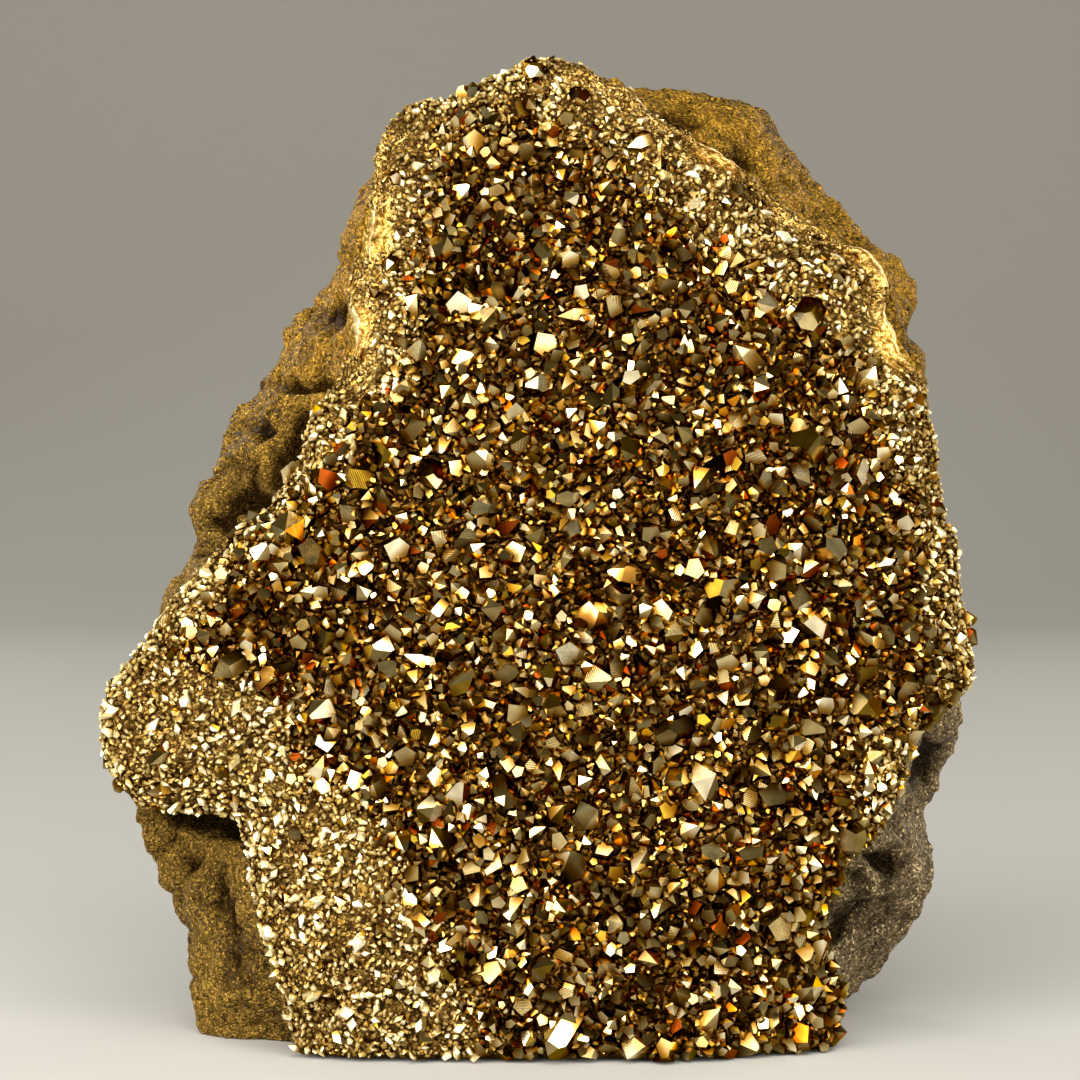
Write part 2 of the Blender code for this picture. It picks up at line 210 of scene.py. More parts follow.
def maths(tree, operation, first, second=0.0, third=0.0, clamp=False):
    node = tree.nodes.new("ShaderNodeMath")
    node.operation = operation
    node.use_clamp = clamp
    for socket, value in zip(node.inputs, (first, second, third)):
        if isinstance(value, bpy.types.NodeSocket):
            tree.links.new(value, socket)
        else:
            socket.default_value = value
    return node.outputs[0]


def attribute(tree, name):
    node = tree.nodes.new("ShaderNodeAttribute")
    node.attribute_name = name
    return node.outputs["Fac"]


def object_place(tree):
    return tree.nodes.new("ShaderNodeTexCoord").outputs["Object"]


def noise_texture(tree, place, scale, detail, roughness):
    node = add(tree, "ShaderNodeTexNoise", Scale=scale, Detail=detail, Roughness=roughness)
    tree.links.new(place, node.inputs["Vector"])
    return node.outputs["Fac"]


def cells(tree, place, scale):
    node = add(tree, "ShaderNodeTexVoronoi", Scale=scale)
    tree.links.new(place, node.inputs["Vector"])
    return node


def bumped(tree, height, strength, distance, under=None):
    """Normals of a surface raised by height, over the normals under it if any are given."""
    bump = add(tree, "ShaderNodeBump", Strength=strength, Distance=distance)
    tree.links.new(height, bump.inputs["Height"])
    if under:
        tree.links.new(under, bump.inputs["Normal"])
    return bump.outputs["Normal"]


def effect(name, inputs, outputs):
    """An empty node group: (kind, name, default) inputs and (kind, name) outputs."""
    group = bpy.data.node_groups.new(name, "ShaderNodeTree")
    for kind, label, value in inputs:
        socket = group.interface.new_socket(label, in_out="INPUT", socket_type=f"NodeSocket{kind}")
        socket.default_value = value
    for kind, label in outputs:
        group.interface.new_socket(label, in_out="OUTPUT", socket_type=f"NodeSocket{kind}")
    return group, group.nodes.new("NodeGroupInput"), group.nodes.new("NodeGroupOutput")


def place_effect(tree, group, **values):
    node = tree.nodes.new("ShaderNodeGroup")
    node.node_tree = group
    for key, value in values.items():
        node.inputs[key].default_value = value
    return node


def gold_dust_effect():
    """Grains of gold film on a surface: its colour, where the film lies, and its relief."""
    inputs = [
        ("Vector", "Place", (0, 0, 0)), ("Float", "Cover", 0.5), ("Float", "Grain", 1800.0),
        ("Float", "Contrast", 1.0), ("Color", "Dust", (0.8, 0.56, 0.2, 1)),
        ("Color", "Bare", (0.1, 0.08, 0.05, 1)),
    ]
    outputs = [("Color", "Color"), ("Float", "Film"), ("Float", "Height")]
    group, start, end = effect("gold dust", inputs, outputs)
    grain = cells(group, start.outputs["Place"], 1.0)
    group.links.new(start.outputs["Grain"], grain.inputs["Scale"])
    pick = group.nodes.new("ShaderNodeSeparateColor")
    group.links.new(grain.outputs["Color"], pick.inputs[0])
    covered = maths(group, "LESS_THAN", pick.outputs[0], start.outputs["Cover"])
    uneven = maths(group, "MULTIPLY", maths(group, "POWER", pick.outputs[1], 2.2), 1.9)
    spread = maths(group, "SUBTRACT", uneven, 0.6)
    shade = maths(group, "MULTIPLY_ADD", spread, start.outputs["Contrast"], 1.0)
    dust = mix_colour(group, 1.0, start.outputs["Dust"], shade, "MULTIPLY")
    bare = mix_colour(group, 1.0, start.outputs["Bare"], shade, "MULTIPLY")
    colour = mix_colour(group, covered, bare, dust)
    group.links.new(colour, end.inputs["Color"])
    group.links.new(covered, end.inputs["Film"])
    dome = maths(group, "MULTIPLY", grain.outputs["Distance"], grain.outputs["Distance"])
    dome = maths(group, "MULTIPLY", dome, 1.4)
    stand = maths(group, "MULTIPLY", pick.outputs[2], 0.7)
    group.links.new(maths(group, "SUBTRACT", stand, dome), end.inputs["Height"])
    return group


gold_dust = gold_dust_effect()


# What metal faces turn to where they are seen edge on.
EDGE_TINT = (0.7, 0.52, 0.22, 1)


def point_material(name, palette, foot_shade_tones, gloss, metallic, lined=False, crumpled=False):
    """Aura film on crystal faces. Each face has its own tone, and the feet get painted shade.

    gloss gives the least and most roughness of a face. Lined faces are cloudy and carry
    growth lines, and crumpled ones are creased all over.
    """
    material, tree, shader = new_material(name)
    tone = ramp(tree, attribute(tree, "facet"), palette, "CONSTANT")
    if lined:
        cloud = noise_texture(tree, object_place(tree), 420.0, 1.0, 0.6)
        veil = ramp(tree, cloud, [(0.3, (0.72, 0.66, 0.6)), (0.7, (1.12, 1.1, 1.06))])
        tone = mix_colour(tree, 1.0, tone, veil, "MULTIPLY")
    # Painted shade on the feet of the crystals, darkest where they meet the bed.
    foot = ramp(tree, attribute(tree, "rise"), foot_shade_tones)
    tone = mix_colour(tree, 1.0, tone, foot, "MULTIPLY")
    tree.links.new(tone, shader.inputs["Base Color"])
    shader.inputs["Metallic"].default_value = metallic
    shader.inputs["Specular Tint"].default_value = EDGE_TINT
    sheen = attribute(tree, "sheen")
    spread = maths(tree, "MULTIPLY_ADD", sheen, gloss[1] - gloss[0], gloss[0])
    tree.links.new(spread, shader.inputs["Roughness"])
    if lined:
        lines = add(tree, "ShaderNodeTexWave", Scale=1.6, Distortion=0.0)
        lines.bands_direction = "Y"
        lines_place = tree.nodes.new("ShaderNodeUVMap")
        lines_place.uv_map = "growth"
        tree.links.new(lines_place.outputs["UV"], lines.inputs["Vector"])
        lined_faces = maths(tree, "GREATER_THAN", sheen, 0.84)
        ridges = maths(tree, "MULTIPLY", lines.outputs["Fac"], lined_faces)
        tree.links.new(bumped(tree, ridges, 0.6, 0.09 * MM), shader.inputs["Normal"])
    if crumpled:
        creases = noise_texture(tree, object_place(tree), 1700.0, 1.0, 0.6)
        tree.links.new(bumped(tree, creases, 0.8, 0.3 * MM), shader.inputs["Normal"])
    return material


# Painted shade at the feet of the crystals, from dark at the bed to none, by height over the bed.
# At 1 there is no painted shade.
FOOT_SHADE_TONES = [(0.0, (0.03, 0.01, 0.002)), (0.24, (0.42, 0.27, 0.08)), (0.5, (1, 1, 1))]
FINE_FOOT_SHADE_TONES = [(0.1, (0.06, 0.025, 0.004)), (0.34, (0.56, 0.42, 0.19)), (0.56, (1, 1, 1))]
# The tones of crystal faces, each from a share of the faces to the next.
POINT_TONES = [
    (0.0, (0.2, 0.15, 0.055)), (0.2, (0.34, 0.265, 0.115)), (0.42, (0.5, 0.405, 0.195)),
    (0.6, (0.16, 0.1, 0.009)), (0.7, (0.7, 0.6, 0.33)), (0.83, (0.86, 0.78, 0.54)),
    (0.94, (0.5, 0.2, 0.01)), (0.968, (0.22, 0.045, 0.004)), (0.997, (0.03, 0.04, 0.07)),
]
SMALL_TONES = [
    (0.0, (0.42, 0.31, 0.085)), (0.16, (0.17, 0.11, 0.008)), (0.42, (0.76, 0.58, 0.17)),
    (0.64, (0.92, 0.79, 0.41)), (0.84, (0.97, 0.91, 0.66)), (0.93, (0.22, 0.09, 0.005)),
    (0.98, (0.2, 0.03, 0.003)),
]
FINE_TONES = [
    (0.0, (0.3, 0.22, 0.065)), (0.16, (0.66, 0.55, 0.27)), (0.34, (0.78, 0.69, 0.4)),
    (0.58, (0.86, 0.79, 0.52)), (0.82, (0.95, 0.9, 0.7)), (0.985, (0.6, 0.34, 0.03)),
]

point_finish = point_material("aura film on points", POINT_TONES, FOOT_SHADE_TONES, (0.03, 0.2), 1.0, lined=True)
small_finish = point_material("aura film on small points", SMALL_TONES, FOOT_SHADE_TONES, (0.05, 0.3), 1.0)
grain_finish = point_material(
    "aura film on fine druse", FINE_TONES, FINE_FOOT_SHADE_TONES, (0.25, 0.5), 0.6, crumpled=True)


# Chalcedony under the film, darker in the pits and lighter on the grains of its bump relief, as painted
# shade and painted light.
SATIN_PIT_SHADE_TONES = [(0.36, (0.16, 0.08, 0.012)), (0.5, (0.45, 0.27, 0.055)), (0.64, (0.8, 0.57, 0.2))]


def bed_material():
    """The crust between its points: glassy, and dark as painted shade between them; satin chalcedony along
    its margin.
    """
    material, tree, shader = new_material("druse bed")
    place = object_place(tree)
    dust = place_effect(tree, gold_dust, Cover=0.4, Grain=1500.0)
    shader.inputs["Specular Tint"].default_value = EDGE_TINT
    fine = attribute(tree, "fine")
    # The bed's dark tones are painted shade between the points.
    golden = mix_colour(tree, fine, (0.09, 0.045, 0.008), (0.16, 0.09, 0.018))
    bare = mix_colour(tree, fine, (0.014, 0.006, 0.001), (0.04, 0.018, 0.004))
    tree.links.new(golden, dust.inputs["Dust"])
    tree.links.new(bare, dust.inputs["Bare"])
    tree.links.new(place, dust.inputs["Place"])
    satin = noise_texture(tree, place, 1300.0, 2.0, 0.7)
    # Painted shade in the pits and painted light on the grains of the satin bump.
    satin_shaded_tone = ramp(tree, satin, SATIN_PIT_SHADE_TONES)
    margin = attribute(tree, "margin")
    tone = mix_colour(tree, margin, dust.outputs["Color"], satin_shaded_tone)
    tree.links.new(tone, shader.inputs["Base Color"])
    shader.inputs["Metallic"].default_value = 0.95
    shader.inputs["Roughness"].default_value = 0.4
    height = maths(tree, "ADD", maths(tree, "MULTIPLY", dust.outputs["Height"], 0.4), satin)
    tree.links.new(bumped(tree, height, 0.7, 0.4 * MM), shader.inputs["Normal"])
    return material


# Bare basalt, from its dark grains to its light ones.
BARE_ROCK_TONES = [
    (0.3, (0.022, 0.012, 0.003)), (0.5, (0.06, 0.034, 0.009)), (0.72, (0.12, 0.075, 0.026)),
]
# Painted shade in the rind's hollows and painted light on its lumps: how dark and how light.
RELIEF_SHADE_TONES = [
    (0.08, (0.09, 0.07, 0.05)), (0.45, (0.95, 0.93, 0.9)), (0.8, (1.25, 1.22, 1.15)),
]


def rock_material():
    """Sandy basalt, dusted with gold on its front and left, bare and grey at the lower right, with painted
    shade in its hollows and painted light on its lumps.
    """
    material, tree, shader = new_material("basalt with gold dust")
    place = object_place(tree)
    axes = tree.nodes.new("ShaderNodeSeparateXYZ")
    tree.links.new(place, axes.inputs[0])
    patches = noise_texture(tree, place, 70.0, 3.0, 0.6)
    rightwards = maths(tree, "MULTIPLY_ADD", axes.outputs["X"], 22.0, -0.15, clamp=True)
    downwards = maths(tree, "MULTIPLY_ADD", axes.outputs["Z"], -20.0, 1.75, clamp=True)
    lower_right = maths(tree, "MULTIPLY", rightwards, downwards)
    backwards = maths(tree, "MULTIPLY_ADD", axes.outputs["Y"], 26.0, 0.1, clamp=True)
    bareness = maths(tree, "MAXIMUM", lower_right, backwards)
    cover = maths(tree, "MULTIPLY", patches, 1.75)
    cover = maths(tree, "SUBTRACT", cover, maths(tree, "MULTIPLY", bareness, 0.6), clamp=True)
    dust = place_effect(tree, gold_dust, Grain=2500.0, Contrast=0.75)
    height = maths(tree, "MULTIPLY_ADD", axes.outputs["Z"], 28.0, -2.2, clamp=True)
    golden = mix_colour(tree, height, (0.185, 0.11, 0.022), (0.27, 0.148, 0.019))
    golden = mix_colour(tree, lower_right, golden, (0.34, 0.265, 0.145))
    tree.links.new(golden, dust.inputs["Dust"])
    tree.links.new(place, dust.inputs["Place"])
    tree.links.new(cover, dust.inputs["Cover"])
    stone = noise_texture(tree, place, 260.0, 3.0, 0.7)
    bare = ramp(tree, stone, BARE_ROCK_TONES)
    bare = mix_colour(tree, maths(tree, "MULTIPLY", lower_right, 0.5), bare, (0.16, 0.125, 0.078))
    tree.links.new(bare, dust.inputs["Bare"])
    # Painted shade in the hollows and painted light on the lumps, by the rind's relief.
    relief_shade = ramp(tree, attribute(tree, "relief"), RELIEF_SHADE_TONES)
    tone = mix_colour(tree, 1.0, dust.outputs["Color"], relief_shade, "MULTIPLY")
    tree.links.new(tone, shader.inputs["Base Color"])
    film = maths(tree, "MULTIPLY", dust.outputs["Film"], 0.45)
    tree.links.new(film, shader.inputs["Metallic"])
    shader.inputs["IOR"].default_value = 1.2
    shader.inputs["Specular Tint"].default_value = EDGE_TINT
    shader.inputs["Roughness"].default_value = 0.45
    crumbly = bumped(tree, noise_texture(tree, place, 300.0, 4.0, 0.72), 0.8, 2.4 * MM)
    dusty = bumped(tree, dust.outputs["Height"], 0.8, 0.3 * MM, under=crumbly)
    tree.links.new(dusty, shader.inputs["Normal"])
    return material


def lip_material():
    """Finely grained chalcedony under a gold film, smooth along its raised rim, where a painted highlight
    makes it pale.
    """
    material, tree, shader = new_material("filmed chalcedony")
    place = object_place(tree)
    grain = noise_texture(tree, place, 1300.0, 2.0, 0.7)
    rim = attribute(tree, "rim")
    # A pale painted highlight along the raised rim, over the satin tones with their painted pit shade.
    tone = mix_colour(tree, rim, ramp(tree, grain, SATIN_PIT_SHADE_TONES), (0.86, 0.68, 0.36))
    tree.links.new(tone, shader.inputs["Base Color"])
    shader.inputs["Metallic"].default_value = 0.8
    shader.inputs["Specular Tint"].default_value = EDGE_TINT
    shader.inputs["Roughness"].default_value = 0.4
    grainy = maths(tree, "SUBTRACT", 1.0, maths(tree, "MULTIPLY", rim, 0.8))
    height = maths(tree, "MULTIPLY", grain, grainy)
    tree.links.new(bumped(tree, height, 0.9, 0.5 * MM), shader.inputs["Normal"])
    return material


# The basalt rind.


def cloud_texture(name, size, depth):
    texture = bpy.data.textures.new(name, "CLOUDS")
    texture.noise_scale = size
    texture.noise_depth = depth
    return texture


def roughen(obj, texture, strength):
    """Moves the surface in and out by a texture."""
    choose(obj)
    bpy.ops.object.modifier_add(type="DISPLACE")
    modifier = obj.modifiers[-1]
    modifier.texture = texture
    modifier.texture_coords = "LOCAL"
    modifier.strength = strength
    modifier.mid_level = 0.5
    bpy.ops.object.modifier_apply(modifier=modifier.name)


# Hollows in the front and left of the rind: x, z, how wide, how high, how deep.
HOLLOWS_MM = [
    (-38.5, 93, 2.6, 4.5, 2.6), (-41.5, 88, 3.2, 3, 2.6), (-46.5, 83.5, 4.5, 2, 2.4),
    (-51, 80, 3, 2, 1.6), (-38, 101, 6, 1.2, 1.6), (-33, 112, 4, 2.5, 1.2),
    (-49, 75, 5, 1.6, 1.6), (-45, 94, 3, 1.5, 1.4), (-50, 22, 2.5, 5, 0.8),
    (-57, 28, 3, 3, 0.9), (-47, 12, 3, 5, 0.8), (54, 26, 3, 3, 2.4), (48, 24, 2, 2, 1.6),
    (46, 15, 2, 2, 1.4), (60, 42, 3, 6, 1.5), (50, 38, 4, 2, 1.2), (19, 142, 5, 2, 2.4),
    (31, 136, 3, 2, 1.4), (48, 121, 4, 2.5, 1.4), (57, 108, 2, 3, 1.0),
    (-54, 32.8, 4, 1.6, 4.4), (-49, 32.5, 4, 1.6, 4.8), (-44.5, 32.3, 3, 1.6, 4.4),
]
# How far a hollow fades out, in its own squared widths, and the most that the rock stands out.
HOLLOW_FADE = 2.2
HIGHEST_RELIEF_MM = 1.3
# The lowest part of the rind stays as flat as it was sawn.
SAWN_MM = 0.8
# Where the rind is most broken: x, z, how far.
BROKEN_MM = [(-42, 84, 15), (-52, 26, 15), (53, 22, 14), (50, 44, 10)]


def brokenness(place):
    """How strong the rind's relief is at a place: full on its back and where it is broken."""
    behind = min(max((place.y / MM - 12) / 10, 0.0), 1.0)
    near = max(1 - math.hypot(place.x / MM - x, place.z / MM - z) / reach for x, z, reach in BROKEN_MM)
    return 0.4 + 0.6 * max(behind, min(1.0, 2 * max(near, 0.0)))


def relief(place, normal):
    """How far the rind stands out at a place, in millimetres: ledges, clefts, lumps and hollows."""
    ledges = noise.noise(Vector((place.x * 60 + place.z * 50, place.y * 60, place.z * 230)))
    clefts = 1 - abs(noise.noise(place * 150 + Vector((7, 3, 1)))) * 2
    lumps = noise.noise(place * 95)
    crumbs = noise.noise(place * 380) + 0.5 * noise.noise(place * 800)
    out = (1.1 * ledges + lumps - 1.1 * max(0.0, clefts - 0.72) / 0.28) * brokenness(place) + 0.75 * crumbs
    if normal.y < 0.55 and place.y < 0.016:
        x = place.x / MM + 1.6 * noise.noise(place * 230 + Vector((4, 0, 0)))
        z = place.z / MM + 1.3 * noise.noise(place * 260 + Vector((0, 0, 5)))
        for hollow_x, hollow_z, wide, high, deep in HOLLOWS_MM:
            away = ((x - hollow_x) / wide) ** 2 + ((z - hollow_z) / high) ** 2
            if away < HOLLOW_FADE:
                out -= deep * (1 - away / HOLLOW_FADE) ** 2 * 1.5
    return min(out, HIGHEST_RELIEF_MM)


def make_rind():
    rind = copy_of_node("basalt_rind", "basalt_rind_surface")
    bpy.ops.object.modifier_add(type="REMESH")
    rind.modifiers[-1].mode = "VOXEL"
    rind.modifiers[-1].voxel_size = 0.8 * MM
    apply_modifiers(rind)
    heights = [relief(v.co.copy(), v.normal.copy()) for v in rind.data.vertices]
    # The relief is kept so that shade is painted into the hollows and light onto the lumps.
    marks = rind.data.attributes.new("relief", "FLOAT", "POINT")
    marks.data.foreach_set("value", np.clip(0.5 + np.array(heights) / 4, 0, 1))
    in_turn = iter(heights)

    def rough(place, normal):
        out = next(in_turn)
        if place.z < SAWN_MM * MM:
            return place
        moved = place + normal * out * MM
        return Vector((moved.x, moved.y, max(moved.z, SAWN_MM * MM)))

    reshape(rind, rough)
    roughen(rind, cloud_texture("rock grain", 1.3 * MM, 1), 0.5 * MM)
    reshape(rind, lambda place, normal: Vector((place.x, place.y, max(place.z, 0.0))))
    bpy.ops.object.shade_smooth()
    rind.data.materials.append(rock_material())
    return rind


# The chalcedony lips.

# The outer edge of each lip: (x, z), from the crown down.
LIP_EDGES_MM = {
    "chalcedony_lip_right": (
        (5, 149.5), (9, 148), (13.5, 145.5), (17, 142.5), (21, 140), (24, 138), (27.5, 136.5), (31, 133.5),
        (34, 130.5), (38, 127.5), (42, 125.5), (46, 123), (49.5, 121.2), (52.2, 118.5), (52.4, 116),
        (51.4, 113.6), (52.4, 111), (53.5, 107.5), (54.5, 105), (57, 102.5),
    ),
    "chalcedony_lip_left": (
        (-24.4, 140), (-25.3, 136.5), (-25.6, 133.5), (-26, 130), (-26.2, 127), (-26.5, 124), (-27, 121),
        (-27.5, 118), (-28.8, 115.8), (-29.6, 113.5), (-29.2, 110.4), (-28.9, 107.4), (-28.4, 104.5),
    ),
}
# Where a lip's rim stands up thin, with a painted highlight that makes it pale: x, z, how far.
LIP_RIMS_MM = [
    (16, 145.5, 3.5), (27.5, 137, 6), (50, 119.5, 6), (53, 109, 8), (-26.5, 124.5, 5.5), (-28.8, 109.5, 6),
]
LIP_STEP_MM = 0.45
LIP_WIDTH_MM = 4.2
LIP_DEPTH_MM = 2.6
LIP_POINTS_ACROSS = 16
# Over this length a lip narrows towards each of its ends.
LIP_TAPER_MM = 5
# How far inside a lip's edge the bed is first felt for, how far at most, and in what steps.
FEEL_FROM_MM = 1.8
FEEL_TO_MM = 6
FEEL_STEP_MM = 0.6
# From how far inside its edge a lip lies on the bed, and over what length it comes down.
LIES_FROM_MM = 1.2
COMES_DOWN_MM = 1.5
# Where the bed isn't felt, it is taken to be here. It is felt for from in front of everything.
BED_Y_MM = -12.0
FRONT_Y_MM = -80


def evenly(line, step):
    """Points every step along a smoothed open line."""
    line = np.array(line, float)
    for _ in range(2):
        cut = [line[0]]
        for a, b in zip(line[:-1], line[1:]):
            cut += [a * 0.75 + b * 0.25, a * 0.25 + b * 0.75]
        line = np.array(cut + [line[-1]])
    along = np.concatenate([[0], np.cumsum(np.hypot(*np.diff(line, axis=0).T))])
    stops = np.arange(0, along[-1], step)
    return np.stack([np.interp(stops, along, line[:, k]) for k in (0, 1)], axis=1)


def rimmed(x, z):
    """1 where the rim of a lip stands up, 0 away from there."""
    near = max(1 - math.hypot(x - rim_x, z - rim_z) / reach for rim_x, rim_z, reach in LIP_RIMS_MM)
    return float(ease(2 * max(near, 0.0)))


def bed_depth(bed_tree, x, z):
    """Y of the bed in the front view at x, z, all in millimetres, or None beside the bed."""
    start = Vector((x * MM, FRONT_Y_MM * MM, z * MM))
    hit = bed_tree.ray_cast(start, Vector((0, 1, 0)))[0]
    return hit.y / MM if hit else None


def sheet_faces(rows, across):
    """Faces of a closed sheet: a front grid, then a back grid of as many points, and its edges."""
    faces = []
    top = rows * across
    for i in range(rows - 1):
        for k in range(across - 1):
            a = i * across + k
            faces.append((a, a + 1, a + 1 + across, a + across))
            faces.append((top + a, top + a + across, top + a + 1 + across, top + a + 1))
        a, b = i * across, i * across + across - 1
        faces.append((a, a + across, top + a + across, top + a))
        faces.append((b + across, b, top + b, top + b + across))
    for k in range(across - 1):
        a, b = k, (rows - 1) * across + k
        faces.append((a + 1, a, top + a, top + a + 1))
        faces.append((b, b + 1, top + b + 1, top + b))
    return faces


def make_lip(node, bed_tree, inward_sign):
    """A thin sheet of chalcedony at the crust's margin: raised, scalloped rim, thin inner edge."""
    edge = evenly(LIP_EDGES_MM[node], LIP_STEP_MM)
    ahead = np.gradient(edge, axis=0)
    ahead /= np.linalg.norm(ahead, axis=1)[:, None]
    inward = np.stack([ahead[:, 1], -ahead[:, 0]], axis=1) * inward_sign
    base = []
    for (x, z), (ix, iz) in zip(edge, inward):
        depth = None
        reach = FEEL_FROM_MM
        while depth is None and reach < FEEL_TO_MM:
            depth = bed_depth(bed_tree, x + ix * reach, z + iz * reach)
            reach += FEEL_STEP_MM
        base.append(BED_Y_MM if depth is None else depth)
    window = np.ones(9) / 9
    base = np.convolve(np.pad(base, 4, mode="edge"), window, mode="valid")
    front, back, rim_highlight = [], [], []
    for i, ((x, z), (ix, iz)) in enumerate(zip(edge, inward)):
        nearer_end = min(i, len(edge) - 1 - i)
        ends = min(1.0, nearer_end * LIP_STEP_MM / LIP_TAPER_MM)
        wave = noise.noise(Vector((x, z, 3)) * 0.28)
        scallop = 1.2 * abs(noise.noise(Vector((x, z, 9)) * 0.16)) + 0.5 * wave
        scallop += 0.3 * noise.noise(Vector((x, z, 12)) * 0.8)
        stands = rimmed(x, z)
        tapered = 0.35 + 0.65 * ends
        wander = max(0.3, 0.72 + 1.3 * noise.noise(Vector((x, z, 20)) * 0.14))
        width = LIP_WIDTH_MM * wander * tapered
        height = 0.1 + stands * max(0.3, 0.85 + 1.2 * noise.noise(Vector((x, z, 31)) * 0.3))
        for k in range(LIP_POINTS_ACROSS):
            share = k / (LIP_POINTS_ACROSS - 1)
            offset = -1.3 * scallop * ends + width * share
            px, pz = x + ix * offset, z + iz * offset
            depth = bed_depth(bed_tree, px, pz)
            ground = base[i] if depth is None or offset <= LIES_FROM_MM else depth
            blend = float(ease((offset - LIES_FROM_MM) / COMES_DOWN_MM))
            ground = base[i] * (1 - blend) + ground * blend
            crest = math.exp(-((share - 0.1) / 0.12) ** 2)
            rim = height * crest + 0.25 * (1 - share)
            curl = 2.6 * max(0.0, 0.14 - share) / 0.14
            ripple = 0.4 * noise.noise(Vector((px, pz, 5)) * 0.7)
            ripple += 0.25 * noise.noise(Vector((px, pz, 8)) * 1.9)
            sink = 0.45 * share ** 3
            y = ground - (rim * tapered + ripple * (1 - 0.5 * share)) + curl + sink
            front.append((px * MM, y * MM, pz * MM))
            # A painted highlight along the crest of a rim that stands up.
            rim_highlight.append(stands * max(0.0, 1.6 * crest - 0.6))
            back.append((px * MM, (max(y, ground) + LIP_DEPTH_MM) * MM, pz * MM))
    mesh = bpy.data.meshes.new(node + "_surface")
    mesh.from_pydata(front + back, [], sheet_faces(len(edge), LIP_POINTS_ACROSS))
    rim_highlights = mesh.attributes.new("rim", "FLOAT", "POINT")
    rim_highlights.data.foreach_set("value", rim_highlight + rim_highlight)
    lip = bpy.data.objects.new(node + "_surface", mesh)
    bpy.context.scene.collection.objects.link(lip)
    choose(lip)
    bpy.ops.object.mode_set(mode="EDIT")
    bpy.ops.mesh.select_all(action="SELECT")
    bpy.ops.mesh.normals_make_consistent(inside=False)
    bpy.ops.object.mode_set(mode="OBJECT")
    bpy.ops.object.modifier_add(type="SUBSURF")
    lip.modifiers[-1].levels = 1
    lip.modifiers[-1].render_levels = 1
    apply_modifiers(lip)
    roughen(lip, cloud_texture("lip grain", 0.8 * MM, 1), 0.34 * MM)
    bpy.ops.object.shade_smooth()
    return lip


# The druse.


def bed_surface(place, normal):
    """Swells the sides and back of the smoothed crust until they meet the rind."""
    swell = min(max((normal.y + 0.45) / 0.5, 0.0), 1.0)
    moved = place + normal * swell * MM
    moved.z = max(moved.z, 0.4 * MM)
    return moved


def make_bed():
    """The crust under its points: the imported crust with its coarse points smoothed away."""
    bed = copy_of_node("amethyst_crust", "druse_bed")
    bpy.ops.object.modifier_add(type="REMESH")
    bed.modifiers[-1].mode = "VOXEL"
    bed.modifiers[-1].voxel_size = 1.0 * MM
    bpy.ops.object.modifier_add(type="SMOOTH")
    bed.modifiers[-1].iterations = 24
    bed.modifiers[-1].factor = 0.5
    apply_modifiers(bed)
    roughen(bed, cloud_texture("crust lumps", 4.5 * MM, 2), 1.4 * MM)
    reshape(bed, bed_surface)
    places = np.array([v.co for v in bed.data.vertices])
    for label, values in (("margin", satin(places)), ("fine", fineness(places))):
        bed.data.attributes.new(label, "FLOAT", "POINT").data.foreach_set("value", values)
    bpy.ops.object.shade_smooth()
    return bed


def satin(places):
    """1 along the chalcedony lips and 0 farther than their satin margin reaches."""
    x, z = places[:, 0] / MM, places[:, 2] / MM
    near = np.full(len(places), 99.0)
    for edge in LIP_EDGES_MM.values():
        for start, end in zip(edge[:-1], edge[1:]):
            near = np.minimum(near, line_distance(x, z, start, end))
    wander = np.array([noise.noise(Vector(place) * 190) for place in places.tolist()])
    return ease(1 - (near - 1.5 - 2.0 * wander) / 2.4)


# Where each of a point's six pyramid faces meets its axis, in radii above the prism.
POINT_CUTS = {
    "even": (1.1, 1.12, 1.08, 1.1, 1.1, 1.13),
    "three faced": (0.95, 1.55, 1.0, 1.6, 1.0, 1.5),
    "sharp": (1.1, 1.9, 1.15, 1.8, 1.1, 1.9),
    "chisel": (0.85, 1.3, 1.4, 0.85, 1.35, 1.3),
    "leaning": (0.7, 1.1, 1.5, 1.6, 1.3, 0.9),
    "broad": (0.95, 1.05, 1.15, 0.98, 1.1, 1.2),
    "one sided": (0.7, 1.0, 1.2, 1.35, 1.2, 1.0),
    "two edged": (0.8, 0.95, 1.7, 1.3, 1.6, 1.7),
}
# The prism reaches this high before it is cut, in radii.
UNCUT_TOP = 3
# Where the three upper faces of a fine grain meet its axis, in radii above its middle.
GRAIN_CUTS = {
    "cube like": (0.75, 0.8, 0.78),
    "slanted": (0.5, 0.9, 0.95),
    "tall": (1.1, 1.05, 1.2),
    "flat": (0.45, 0.55, 0.5),
}


def cut_crystal(sides, foot, cuts, slope_deg):
    """A prism of unit radius whose top is cut by one sloping plane per number in cuts."""
    deselect()
    bpy.ops.mesh.primitive_cylinder_add(
        vertices=sides, radius=1, depth=foot + UNCUT_TOP, location=(0, 0, (UNCUT_TOP - foot) / 2))
    crystal = bpy.context.active_object
    bpy.ops.object.transform_apply(location=True, rotation=True, scale=True)
    bpy.ops.object.mode_set(mode="EDIT")
    slope = math.radians(slope_deg)
    for k, height in enumerate(cuts):
        turn = math.tau * k / len(cuts)
        out = math.sin(slope)
        facing = (out * math.cos(turn), out * math.sin(turn), math.cos(slope))
        bpy.ops.mesh.select_all(action="SELECT")
        bpy.ops.mesh.bisect(
            plane_co=(0, 0, height), plane_no=facing, use_fill=True, clear_outer=True)
    bpy.ops.mesh.select_all(action="SELECT")
    bpy.ops.mesh.remove_doubles(threshold=0.0005)
    bpy.ops.mesh.normals_make_consistent(inside=False)
    bpy.ops.object.mode_set(mode="OBJECT")
    return crystal


def read_shape(crystal):
    """Vertices and faces of a crystal, after which the crystal itself is removed."""
    mesh = crystal.data
    verts = np.array([v.co for v in mesh.vertices])
    faces = [tuple(p.vertices) for p in mesh.polygons]
    bpy.data.objects.remove(crystal)
    return verts, faces


